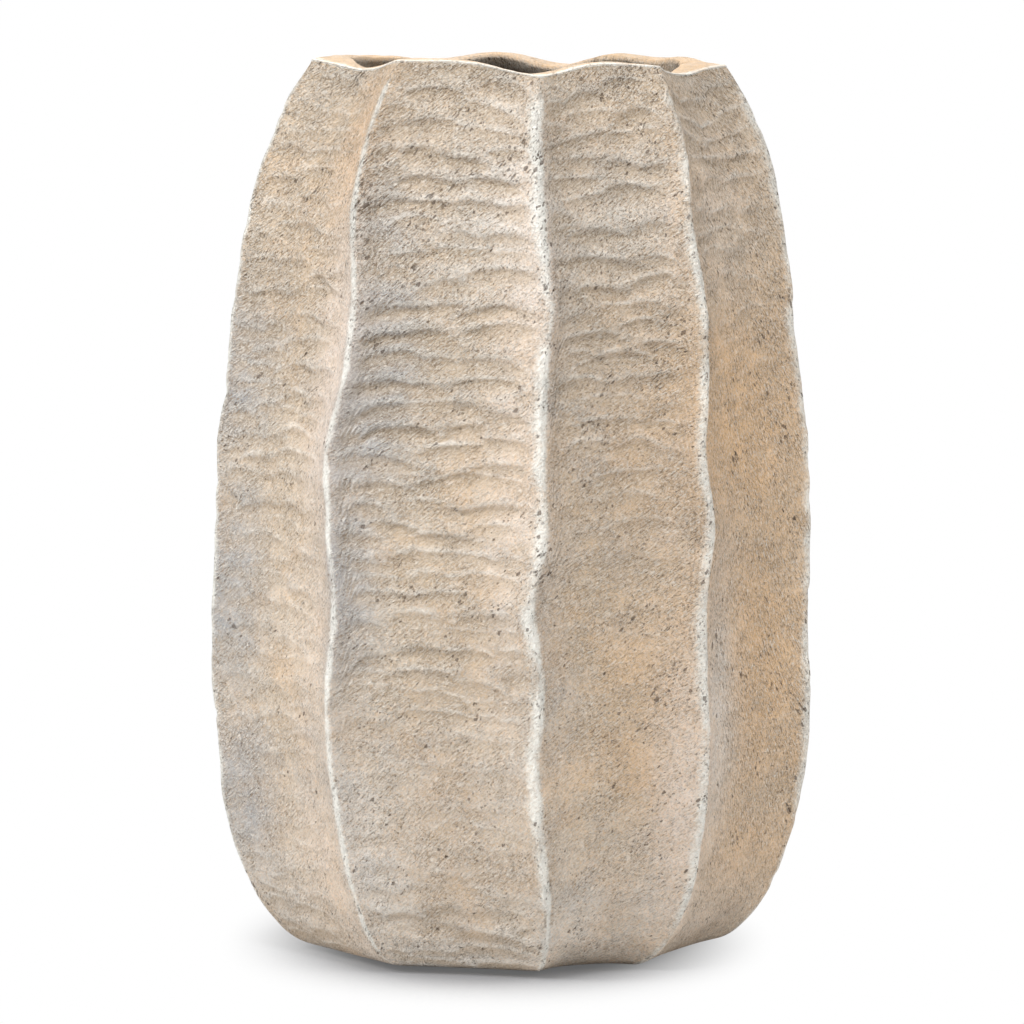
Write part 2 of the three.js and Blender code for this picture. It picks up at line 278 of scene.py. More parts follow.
class Finish:
    """A material or world in the making: adds shader nodes and wires them up"""

    def __init__(self, owner):
        owner.use_nodes = True
        self.owner = owner
        self.nodes = owner.node_tree.nodes
        self.links = owner.node_tree.links
        self.nodes.clear()

    def add(self, kind, settings=None, inputs=None, output=0):
        """One node: its settings first, then values or links for its sockets"""
        node = self.nodes.new(kind)
        for key, value in (settings or {}).items():
            setattr(node, key, value)
        for key, value in (inputs or {}).items():
            if isinstance(value, Flow):
                self.links.new(value.socket, node.inputs[key])
            elif value is not None:
                node.inputs[key].default_value = value
        return Flow(self, node.outputs[output]) if node.outputs else None

    def attribute(self, name):
        return self.add("ShaderNodeAttribute", {"attribute_name": name}, output="Fac")

    def noise(self, vector, scale, detail=2.0, roughness=0.5):
        sockets = {"Vector": vector, "Scale": scale, "Detail": detail, "Roughness": roughness}
        return self.add("ShaderNodeTexNoise", None, sockets)

    def cells(self, vector, scale, output="Distance"):
        return self.add("ShaderNodeTexVoronoi", None, {"Vector": vector, "Scale": scale}, output=output)

    def mix(self, share, first, second):
        settings = {"data_type": "RGBA", "blend_type": "MIX"}
        return self.add("ShaderNodeMix", settings, {0: share, 6: first, 7: second}, output=2)

    def step(self, value, low, high):
        """0 below low, 1 above high, and a soft rise between; the other way if low is above high"""
        settings = {"interpolation_type": "SMOOTHSTEP"}
        if low < high:
            limits = {1: low, 2: high, 3: 0.0, 4: 1.0}
        else:
            limits = {1: high, 2: low, 3: 1.0, 4: 0.0}
        return self.add("ShaderNodeMapRange", settings, {0: value, **limits})

    def drawn_out(self, vector, degrees, stretch):
        """A pattern's coordinates, turned and then drawn out along their own X"""
        turn = {"Vector": vector, "Rotation": (0.0, 0.0, math.radians(degrees))}
        turned = self.add("ShaderNodeMapping", None, turn)
        return self.add("ShaderNodeMapping", None, {"Vector": turned, "Scale": (1.0 / stretch, 1.0, 1.0)})

    def luck(self, vector, scale):
        """The same random number from 0 to 1 all over a cell"""
        colour = self.cells(vector, scale, "Color")
        return self.add("ShaderNodeSeparateColor", None, {"Color": colour})

    def shaken(self, vector, scale, amount):
        """A pattern's coordinates, shaken by small noise so that its shapes aren't so regular"""
        shake = self.add("ShaderNodeTexNoise", None, {"Vector": vector, "Scale": scale, "Detail": 1.0},
                         output="Color")
        settings = {"operation": "MULTIPLY_ADD"}
        return self.add("ShaderNodeVectorMath", settings, {0: shake, 1: (amount,) * 3, 2: vector})

    def curls(self, vector, scale, width):
        """Short curly lines, 1 along a line and 0 off it"""
        return self.step(abs(self.noise(vector, scale, 1.0, 0.5) - 0.5), width, 0.0)

    def holes(self, vector, scale, rarity, size, more):
        """Round holes in some cells, of all sizes up to size: 1 in a hole, 0 outside"""
        radius = (self.luck(vector, scale) - rarity + more) * (size / (1.0 - rarity))
        return self.step(radius - self.cells(vector, scale), -0.02, 0.06)

    def coat(self, colour, roughness, relief, height, strength=1.0, specular=0.5):
        """The shader of a solid with a fine relief"""
        bump = self.add("ShaderNodeBump", None,
                        {"Strength": strength, "Distance": height, "Height": relief})
        return self.add("ShaderNodeBsdfPrincipled", None,
                        {"Base Color": colour, "Roughness": roughness, "Normal": bump,
                         "Specular IOR Level": specular})

    def surface(self, shader, kind="Material"):
        self.add("ShaderNodeOutput" + kind, None, {"Surface": shader})
        return self.owner


class Flow:
    """What runs out of a node's socket, with Python's own operators for numbers"""

    def __init__(self, finish, socket):
        self.finish = finish
        self.socket = socket

    def math(self, operation, first, second=None, clamp=False):
        settings = {"operation": operation, "use_clamp": clamp}
        return self.finish.add("ShaderNodeMath", settings, {0: first, 1: second})

    def __add__(self, other):
        return self.math("ADD", self, other)

    def __radd__(self, other):
        return self.math("ADD", other, self)

    def __sub__(self, other):
        return self.math("SUBTRACT", self, other)

    def __rsub__(self, other):
        return self.math("SUBTRACT", other, self)

    def __mul__(self, other):
        return self.math("MULTIPLY", self, other)

    def __rmul__(self, other):
        return self.math("MULTIPLY", other, self)

    def __abs__(self):
        return self.math("ABSOLUTE", self)

    def clamped(self):
        return self.math("ADD", self, 0.0, clamp=True)


def rgba(colour):
    return (*colour, 1.0)


def smooth(low, high, value):
    """0 below low, 1 above high, and a soft rise between"""
    share = np.clip((value - low) / (high - low), 0.0, 1.0)
    return share * share * (3.0 - 2.0 * share)


def blend(first, second, share):
    return first + (second - first) * share


def read_along(sizes, share):
    """A list of sizes at even steps, read smoothly at a share of its length from 0 to 1"""
    sizes = np.asarray(sizes, float)
    last = len(sizes) - 1
    place = np.clip(share, 0.0, 1.0) * last
    step = np.minimum(place.astype(int), last - 1)
    part = place - step
    before, after = sizes[np.maximum(step - 1, 0)], sizes[np.minimum(step + 2, last)]
    here, there = sizes[step], sizes[step + 1]
    lead, trail = (there - before) / 2, (after - here) / 2
    cubic = (2 * here - 2 * there + lead + trail) * part ** 3
    square = (-3 * here + 3 * there - 2 * lead - trail) * part ** 2
    return cubic + square + lead * part + here


def ripple(points, scale, seed):
    """Smooth noise from -1 to 1 at each point, with bumps about as large as scale"""
    shifted = points / scale + seed * 7.31
    values = [noise.noise(Vector(point)) for point in shifted.reshape(-1, 3)]
    return np.array(values).reshape(points.shape[:-1])


def ripples(points, waves):
    """Several sizes of that noise together, each given as its strength, size and seed"""
    return sum(strength * ripple(points, size, seed) for strength, size, seed in waves)


class PotSkin:
    """The pot's whole skin as a sheet of points: rows from the foot up, over the rim, down
    the inside and out through the drain, and columns once round. All in metres."""

    PANEL_COLUMNS = 34
    ROWS = 276               # from the ground to the rim
    FINE_ROWS = 960          # of the fine sheet that those rows are picked from
    CORNER_ROWS = 4
    FILLET_ROWS = 6
    WALL_ROWS = 14           # down the inside, below the mouth's
    MOUTH_ROWS = (0.0015, 0.003, 0.005, 0.0075, 0.011, 0.017, 0.028)   # below the rim
    CROWDING = 0.55          # how much the columns crowd towards the ribs
    BEND_CROWDING = 5        # how much the rows crowd where the face bends
    GROUND_CROWDING = 5      # and towards the ground
    NEAR_GROUND = 0.006      # over about this height
    EVENING = 8              # times that the rows are evened out between their neighbours
    CRISP_BEND = 260.0       # sharpest bend of the carved face, in 1/m
    BEND_BLUR = 1.8          # in fine rows

    FOOT_SQUARENESS = 2.25   # of the curve from the foot to the belly
    EARLY_TURN = 0.58        # share of the way in to the rim that starts gently at the belly
    HOLLOW_POWER = 2.8       # how flat the middle of a panel's hollow is
    FLAT_FALL = 0.34         # how steeply a flat panel falls away from its rib
    SCOOP_FALL = 5.2         # and how much steeper for the hollow's share of its width
    SETTLED = 0.012          # height above the ground where dents and marks are full
    VISIBLE_LIP = 0.0020     # rounding of the rim as it shows, crisper than in the solid
    LIP_CROWN = 0.0008       # how far the rim is domed
    WAVY_FROM = 0.7          # share of the height above which the rim's waves are felt
    UNEVEN_INSIDE = 0.008    # of the radius
    CORNER_WEAR = 0.8        # how pale the rim's outer edge is: worn clay and painted highlight
    LIP_WEAR = 0.25          # and the rest of the rim, partly painted highlight
    PALE_FADE = 0.005        # how far below the pale mouth the inside's painted shade is full

    # Where the edge inside the mouth stands upright: the middle and half the width of each
    # stretch in degrees, and between which depths below the rim this fades out
    UPRIGHT_MOUTH = ((105, 32), (256, 13))
    UPRIGHT_FADE = (0.006, 0.030)

    FADED_CREST = 0.026      # height below the rim where the ribs' crests fade out
    WORN_BEFORE = 0.0100     # how far the chalk and painted highlight reach on the flank before a rib, facing the key lamp
    WORN_AFTER = 0.0045      # and on the flank after it, facing away
    FOOT_WEAR = 0.55         # share of that at the ground
    FOOT_WEAR_TOP = 0.14     # height where it is full
    CHIPS = 12               # on each rib
    CHIP_PLACES = (0.03, 0.59)
    CHIP_HEIGHTS = (0.0016, 0.0050)
    CHIP_DEPTHS = (0.3, 1.4)                 # in millimetres
    CHIP_WIDTH = 0.005

    # The limits of a gouge, as shares of the carver's usual length, reach, row and depth
    HALF_LENGTHS = (0.65, 1.45)
    SPACINGS = (0.76, 1.0)
    REACHES = (0.85, 1.15)
    LIFTS = (-0.38, 0.38)
    STRENGTHS = (0.80, 1.20)
    ARCHES = (0.2, 0.65)
    ROW_STEPS = (0.8, 1.2)
    LEAN = 0.07
    FOOT_MARKS = 0.12        # below this height the gouges are lower, closer and more arched
    GOUGE_BOTTOM = 0.30      # where a gouge is deepest, as a share of its height from its top
    CLEAR_OF_RIB = 0.002     # no gouge is nearer to a rib
    CALM_AFTER_RIB = 0.013   # how far the gouges take to reach full depth after a rib

    # Strength, size and seed of the uneven shapes. Sizes are in metres. So is the strength
    # of the gouges' waver, and the other strengths are in millimetres.
    DRIFT = ((0.9, 0.034, 1), (0.6, 0.013, 2))
    SWELL = ((0.7, 0.045, 3), (0.22, 0.012, 4))
    WAVER = ((0.0026, 0.030, 5), (0.0010, 0.011, 6))
    DENTS = ((0.9, 0.060, 7), (0.35, 0.018, 8), (0.16, 0.007, 9))
    UNEVEN_LIP = ((0.8, 0.022, 10), (0.35, 0.006, 15))

    def __init__(self, shape, marks):
        self.shape = shape
        self.marks = marks
        self.underside = POT_LOW.z
        self.floor = self.underside + shape.base
        self.usual_width = 2 * shape.belly_radius * math.sin(math.pi / len(RIBS))
        even = np.arange(self.PANEL_COLUMNS) / self.PANEL_COLUMNS
        crowded = even - self.CROWDING * np.sin(2 * np.pi * even) / (2 * np.pi)
        self.across = np.append(np.tile(crowded, len(RIBS)), 0.0)
        self.panel = np.append(np.repeat(np.arange(len(RIBS)), self.PANEL_COLUMNS), 0)
        self.next_rib = (self.panel + 1) % len(RIBS)
        self.angles = np.radians([rib["angle"] for rib in RIBS])
        turn = (self.angles[self.next_rib] - self.angles[self.panel]) % (2 * np.pi)
        self.column_angle = self.angles[self.panel] + turn * self.across
        self.rise = self.rim_rise()
        degrees = np.degrees(self.column_angle) % 360
        self.upright = sum(np.exp(-((degrees - middle) / half) ** 2)
                           for middle, half in self.UPRIGHT_MOUTH)

    def crest_radius(self, height):
        """Radius over the ribs at each height"""
        shape = self.shape
        low = np.clip((height - self.underside) / (shape.belly_height - self.underside), 0, 1)
        out = (1 - (1 - low) ** self.FOOT_SQUARENESS) ** (1 / self.FOOT_SQUARENESS)
        lower = blend(shape.foot_radius, shape.belly_radius, out)
        high = np.clip((height - shape.belly_height) / (shape.height - shape.belly_height), 0, 1.1)
        inward = self.EARLY_TURN * high ** 2 + (1 - self.EARLY_TURN) * high ** 6
        upper = blend(shape.belly_radius, shape.rim_radius, inward)
        return np.where(height < shape.belly_height, lower, upper)

    def rib_points(self, rib, height):
        """Where a rib's edge runs: its x and y at each height"""
        share = height / self.shape.height
        spec = RIBS[rib]
        if "drift" in spec:
            drift = read_along(spec["drift"], share)
        else:
            turn = 2 * np.pi * height / MM
            drift = sum(way * np.sin(turn / length + number * spec["angle"])
                        for number, (way, length) in enumerate(PLAIN_WAVES, 1))
        swell = read_along(spec.get("swell", (0, 0)), share)
        line = np.stack([height * 0 + rib, height * 0, height], -1)
        drift = drift + ripples(line, self.DRIFT)
        swell = swell + ripples(line, self.SWELL)
        radius = self.crest_radius(height) + swell * MM
        angle = self.angles[rib] + drift * MM / radius
        return np.stack([radius * np.sin(angle), -radius * np.cos(angle)], -1)

    def chips(self, height):
        """How deep each rib's crest is chipped at each height"""
        depth = np.zeros((len(height), len(RIBS)))
        for rib in range(len(RIBS)):
            chance = np.random.default_rng(self.marks.seed * 100 + rib)
            for _ in range(self.CHIPS):
                place, size = chance.uniform(*self.CHIP_PLACES), chance.uniform(*self.CHIP_HEIGHTS)
                deepest = chance.uniform(*self.CHIP_DEPTHS) * MM
                depth[:, rib] += deepest * np.exp(-((height - place) / size) ** 2)
        return depth

    def scoop(self, height):
        """How deep each column's panel is hollowed at each height"""
        shape = self.shape
        foot = np.array([panel["foot_scoop"] for panel in PANELS])[self.panel] * MM
        high = np.clip((height - shape.belly_height) / (shape.height - shape.belly_height), 0, 1)
        full = blend(shape.belly_scoop, shape.rim_scoop, high)
        return blend(foot, full, smooth(self.underside, shape.scoop_start, height))

    def lifted(self, height):
        """A level of the skin on each column, with the waves of the rim"""
        return height + self.rise * smooth(self.WAVY_FROM, 1.0, height / self.shape.height)

    def rim_rise(self):
        """How far the rim rises above its mean height on each column"""
        rises = [part["rim_rise"] for pair in zip(RIBS, PANELS) for part in pair]
        wrapped = rises[-2:] + rises + rises[:3]
        place = 2 + 2 * (self.panel + self.across)
        return read_along(wrapped, place / (len(wrapped) - 1)) * MM

    def outer(self, heights):
        """Points of the outer face, rows by columns, before any tool marks: their x and y,
        the inward direction, and how far each lies from its left rib and its nearest rib"""
        grid = heights[:, None]
        edges = np.stack([self.rib_points(rib, heights) for rib in range(len(RIBS))], 1)
        left, right = edges[:, self.panel], edges[:, self.next_rib]
        chord = right - left
        width = np.linalg.norm(chord, axis=-1)
        inward = np.stack([-chord[..., 1], chord[..., 0]], -1) / width[..., None]
        across = self.across[None, :]
        hollow = self.scoop(grid) * (1 - np.abs(2 * across - 1) ** self.HOLLOW_POWER)
        near = np.minimum(across, 1 - across) * width
        nearest = np.where(self.across > 0.5, self.next_rib, self.panel)
        line = np.stack(np.broadcast_arrays(np.round(self.panel + across), grid, 0.0), -1)
        lost = smooth(self.shape.height - self.FADED_CREST, self.shape.height, grid)
        # Chalk on the crests: worn clay, plus painted highlight, wider on the flank facing the key lamp
        reach = np.where(across > 0.5, self.WORN_BEFORE, self.WORN_AFTER)
        reach = reach * blend(self.FOOT_WEAR, 1, smooth(0.0, self.FOOT_WEAR_TOP, grid))
        reach = reach * np.array([rib.get("worn", 1) for rib in RIBS])[nearest]
        patchy = 0.9 + 0.5 * ripple(line, 0.020, 14)
        self.wear = np.exp(-(near / reach) ** 2) * patchy * (1 - 0.75 * lost)
        worn = self.shape.rib_round * (1 + 0.6 * ripple(line, 0.028, 13)) * (1 + 0.3 * lost)
        fall = self.FLAT_FALL + self.SCOOP_FALL * self.scoop(grid) / width
        chipped = self.chips(heights)[:, nearest] * np.exp(-(near / self.CHIP_WIDTH) ** 2)
        rounding = fall * (np.sqrt(near ** 2 + worn ** 2) - near) + chipped
        rib = np.where(across[..., None] > 0.5, right, left)
        to_axis = -rib / np.linalg.norm(rib, axis=-1, keepdims=True)
        points = left + chord * across[..., None] + inward * hollow[..., None]
        return points + to_axis * rounding[..., None], inward, across * width, near

    def carving(self, heights, sideways, near):
        """Depth of the carver's gouges at each point of the outer face"""
        marks = self.marks
        chance = np.random.default_rng(marks.seed)
        height = np.broadcast_to(heights[:, None], sideways.shape)
        place = np.stack([sideways + self.panel * 0.5, height, height * 0], -1)
        waver = ripples(place, self.WAVER)
        depth = np.zeros_like(sideways)
        for panel, spec in enumerate(PANELS):
            columns = np.flatnonzero(self.panel[:-1] == panel)
            top = self.shape.height + marks.reach * chance.uniform(0, 0.6)
            while top > self.underside:
                low = 1 - np.clip(top / self.FOOT_MARKS, 0, 1)
                left = -marks.length * chance.uniform(0, 1.2)
                while left < self.usual_width:
                    half = marks.length * chance.uniform(*self.HALF_LENGTHS)
                    middle = left + half
                    left += 2 * half * chance.uniform(*self.SPACINGS)
                    reach = marks.reach * chance.uniform(*self.REACHES) * (1 - 0.3 * low)
                    lift = top + marks.row * chance.uniform(*self.LIFTS)
                    strength = chance.uniform(*self.STRENGTHS)
                    lean = chance.normal(0, self.LEAN)
                    arch = reach * (chance.uniform(*self.ARCHES) + 0.6 * low)
                    rows = np.flatnonzero(np.abs(heights - lift) < reach * 1.6)
                    if not len(rows):
                        continue
                    patch = np.ix_(rows, columns)
                    aside = (sideways[patch] - middle) / half
                    body = np.sqrt(np.clip(1 - np.abs(aside) ** 2.3, 0, 1))
                    edge = lift + arch * (body - 1) + lean * half * aside + waver[patch]
                    down = (edge - height[patch]) / (reach * np.maximum(body, 1e-3))
                    bowl = np.where(body > 0, self.gouge_profile(down), 0) * body ** 0.5
                    vigour = read_along(spec["marks"], np.array([lift / self.shape.height]))[0]
                    cut = bowl * marks.depth * strength * max(vigour, 0.05)
                    depth[patch] = np.maximum(depth[patch], cut)
                top -= marks.row * chance.uniform(*self.ROW_STEPS) * (1 - 0.35 * low)
        depth[:, -1] = depth[:, 0]
        calm = np.array([panel.get("calm", USUAL_CALM) for panel in PANELS])[self.panel] * MM
        calm = np.where(self.across > 0.5, calm, self.CALM_AFTER_RIB)
        return depth * smooth(self.CLEAR_OF_RIB, calm, near)

    def gouge_profile(self, down):
        """Depth of a gouge at a share of its height, from its crisp top to where it runs out"""
        bottom = self.GOUGE_BOTTOM
        in_steeply = np.sin(np.pi / 2 * np.clip(down / bottom, 0, 1))
        out_gently = np.cos(np.pi / 2 * np.clip((down - bottom) / (1 - bottom), 0, 1)) ** 2
        return in_steeply * out_gently

    def bends(self, depth, step):
        """How sharply the carved face bends from top to bottom: 1 at a crisp ridge, -1 in a
        crisp furrow"""
        bend = np.zeros_like(depth)
        bend[1:-1] = (depth[2:] - 2 * depth[1:-1] + depth[:-2]) / step ** 2
        shares = {shift: math.exp(-(shift / self.BEND_BLUR) ** 2) for shift in range(-3, 4)}
        blurred = sum(np.roll(bend, shift, axis=0) * share for shift, share in shares.items())
        return np.clip(blurred / sum(shares.values()) / self.CRISP_BEND, -1, 1)

    def picked_rows(self, heights, bend):
        """Where each row crosses each column, as a place on the fine sheet: the rows crowd
        where the face bends, and towards the ground"""
        soft = np.abs(bend)
        soft = (np.roll(soft, 1, axis=0) + soft + np.roll(soft, -1, axis=0)) / 3
        ground = np.exp(-(heights - self.underside) / self.NEAR_GROUND)[:, None]
        weight = 1 + self.BEND_CROWDING * soft + self.GROUND_CROWDING * ground
        total = np.cumsum(weight, axis=0)
        total = (total - total[:1]) / (total[-1:] - total[:1])
        share = np.linspace(0, 1, self.ROWS)
        places = np.arange(len(heights))
        picked = np.stack([np.interp(share, column, places) for column in total.T[:-1]], 1)
        for _ in range(self.EVENING):
            picked = (np.roll(picked, 1, axis=1) + 2 * picked + np.roll(picked, -1, axis=1)) / 4
        return np.concatenate([picked, picked[:, :1]], axis=1)

    @staticmethod
    def read_rows(sheet, picked):
        """A fine sheet of points or numbers, read at the picked rows"""
        below = np.minimum(picked.astype(int), len(sheet) - 2)
        part = picked - below
        if sheet.ndim == 3:
            below, part = below[..., None], part[..., None]
        first = np.take_along_axis(sheet, below, axis=0)
        second = np.take_along_axis(sheet, below + 1, axis=0)
        return first + (second - first) * part

    def build(self):
        """All the points, and for each what the clay's material reads, such as how worn it is and where
        light and shade are painted
        """
        shape = self.shape
        lip_start = shape.height - self.VISIBLE_LIP
        heights = np.linspace(self.underside, lip_start, self.FINE_ROWS)
        flat, inward, sideways, near = self.outer(heights)
        carved = self.carving(heights, sideways, near)
        skin = np.dstack([flat, self.lifted(heights[:, None])])
        settled = smooth(self.underside, self.underside + self.SETTLED, heights)[:, None]
        inset = (carved + ripples(skin, self.DENTS) * MM) * settled
        skin[..., :2] += inward * inset[..., None]
        bend = self.bends(carved, heights[1] - heights[0])
        picked = self.picked_rows(heights, bend)
        self.levels = np.interp(picked, np.arange(len(heights)), heights)
        skin = self.read_rows(skin, picked)
        lip = list(self.lip_rows(skin[-1], self.inside_ring(lip_start)))
        depths, inside = zip(*self.inside_rows(lip_start))
        points = np.concatenate([skin, lip, inside, skin[:1]])
        names = ("wear", "lip", "inside", "gouged", "ridge")
        masks = {name: np.zeros(points.shape[:2]) for name in names}
        masks["lip"][self.ROWS + 1:self.ROWS + len(lip)] = 1
        masks["wear"][:self.ROWS] = self.read_rows(self.wear, picked)
        masks["wear"][self.ROWS:self.ROWS + self.CORNER_ROWS] = self.CORNER_WEAR
        masks["wear"][self.ROWS + self.CORNER_ROWS:self.ROWS + len(lip)] = self.LIP_WEAR
        # Gouge depth and bend, which the material turns into painted shade and painted highlight
        masks["gouged"][:self.ROWS] = self.read_rows(carved / self.marks.depth, picked)
        masks["ridge"][:self.ROWS] = self.read_rows(bend, picked)
        # Below a pale mouth the inside gets painted shade
        pale = np.array([panel.get("pale_mouth", USUAL_PALE_MOUTH) for panel in PANELS])
        pale = pale[self.panel] * MM
        dark = smooth(pale, pale + self.PALE_FADE, np.array(depths)[:, None])
        masks["inside"][self.ROWS + len(lip):-1] = dark
        return points, masks

    def ring(self, radius, height):
        angle = self.column_angle
        level = np.broadcast_to(height, angle.shape)
        return np.stack([radius * np.sin(angle), -radius * np.cos(angle), level], -1)

    def inside_ring(self, height):
        """The round hollow behind the panels at one height"""
        shape = self.shape
        high = max(0.0, (height - shape.belly_height) / (shape.height - shape.belly_height))
        panel_radius = float(self.crest_radius(np.array(height))) * math.cos(math.pi / len(RIBS))
        radius = panel_radius - blend(shape.belly_scoop, shape.rim_scoop, high) - shape.wall
        return self.ring(radius, self.lifted(height))

    def lip_rows(self, outer_edge, mouth):
        """Over the rim, from the outer face to the inner one"""
        round_off = self.VISIBLE_LIP
        way = mouth[:, :2] - outer_edge[:, :2]
        way = way / np.linalg.norm(way, axis=-1, keepdims=True)
        turns = np.linspace(0, np.pi / 2, self.CORNER_ROWS + 1)
        for turn in turns[1:]:
            flat = outer_edge[:, :2] + way * round_off * (1 - np.cos(turn))
            yield self.lip_row(flat, outer_edge[:, 2] + round_off * np.sin(turn))
        outer_top = outer_edge[:, :2] + way * round_off
        inner_top = mouth[:, :2] - way * round_off
        for share in (0.25, 0.5, 0.75):
            swell = self.LIP_CROWN * math.sin(math.pi * share)
            level = blend(outer_edge[:, 2], mouth[:, 2], share) + round_off + swell
            yield self.lip_row(blend(outer_top, inner_top, share), level)
        for turn in turns[::-1][:-1]:
            flat = mouth[:, :2] - way * round_off * (1 - np.cos(turn))
            yield self.lip_row(flat, mouth[:, 2] + round_off * np.sin(turn))

    def lip_row(self, flat, level):
        points = np.column_stack([flat, level])
        points[:, 2] += ripples(points, self.UNEVEN_LIP) * MM
        return points

    def inside_rows(self, lip_start):
        """Down the inside, over the floor and its well, and out through the drain hole: how
        far each row lies below the rim, and its points"""
        shape = self.shape
        fillet_top = self.floor + shape.fillet
        mouth_end = self.MOUTH_ROWS[-1]
        mouth_radius = np.linalg.norm(self.inside_ring(lip_start)[:, :2], axis=-1)
        wall_end = lip_start - fillet_top
        further = np.linspace(mouth_end, wall_end, self.WALL_ROWS + 1, endpoint=False)[1:]
        for depth in (*self.MOUTH_ROWS, *further):
            points = self.inside_ring(lip_start - depth)
            uneven = self.UNEVEN_INSIDE * min(1.0, depth / mouth_end)
            points[:, :2] *= 1 + (uneven * ripple(points, 0.050, 12))[:, None]
            radius = np.linalg.norm(points[:, :2], axis=-1)
            overhang = (radius - mouth_radius) * (1 - smooth(*self.UPRIGHT_FADE, depth))
            points[:, :2] *= (1 - self.upright * overhang / radius)[:, None]
            yield depth, points
        radius = np.linalg.norm(self.inside_ring(fillet_top)[0, :2])
        for turn in np.linspace(0, np.pi / 2, self.FILLET_ROWS):
            height = fillet_top - shape.fillet * math.sin(turn)
            yield lip_start - height, self.ring(radius - shape.fillet * (1 - math.cos(turn)), height)
        well_floor = self.floor - shape.well_depth
        for ring_radius, height in (
                (blend(shape.well_radius, radius, 0.4), self.floor),
                (shape.well_radius + MM, self.floor),
                (shape.well_radius, self.floor - MM),
                (shape.well_radius, well_floor),
                (shape.drain_radius, well_floor),
                (shape.drain_radius, self.underside),
                (blend(shape.drain_radius, shape.foot_radius, 0.5), self.underside)):
            yield lip_start - height, self.ring(ring_radius, height)


def patches(skin, points, plan):
    """The strength of soft patches of colour at each point, from 0 to 1"""
    total = np.zeros(points.shape[:-1])
    for panel, across, height, half_width, half_height, strength in plan:
        from_left = ((skin.panel - panel) % len(RIBS) + skin.across) % len(RIBS)
        aside = (from_left - across + len(RIBS) / 2) % len(RIBS) - len(RIBS) / 2
        aside = aside * skin.usual_width / (half_width * MM)
        along = (points[..., 2] - height * MM) / (half_height * MM)
        total = np.maximum(total, strength * np.exp(-(aside[None] ** 2) - along ** 2))
    return total


def back_patches(seed, amount):
    """Patches for the panels that the photograph doesn't show"""
    chance = np.random.default_rng(seed)
    return [(int(chance.choice(BACK_PANELS)), chance.uniform(0, 1), chance.uniform(60, 560),
             chance.uniform(18, 45), chance.uniform(40, 110), chance.uniform(0.3, 0.9))
            for _ in range(amount)]


def start_afresh():
    """No object is selected, and nothing is in edit mode"""
    if bpy.context.object and bpy.context.object.mode != "OBJECT":
        bpy.ops.object.mode_set(mode="OBJECT")
    bpy.ops.object.select_all(action="DESELECT")


def facing(place, target):
    """The turn that points a lamp or a camera at its target"""
    return (Vector(target) - Vector(place)).to_track_quat("-Z", "Y").to_euler()


def apply_placing():
    """The selected object's place and turn go into its mesh"""
    bpy.ops.object.transform_apply(location=True, rotation=True, scale=True)


def named(name, material):
    """The active object gets its name and its material"""
    piece = bpy.context.object
    piece.name = piece.data.name = name
    piece.data.materials.clear()
    piece.data.materials.append(material)
    return piece


def mount(piece, body, slot, *nodes):
    """A finished piece rides on its body and stands for its nodes of the solid part"""
    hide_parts(*nodes)
    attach(piece, body)


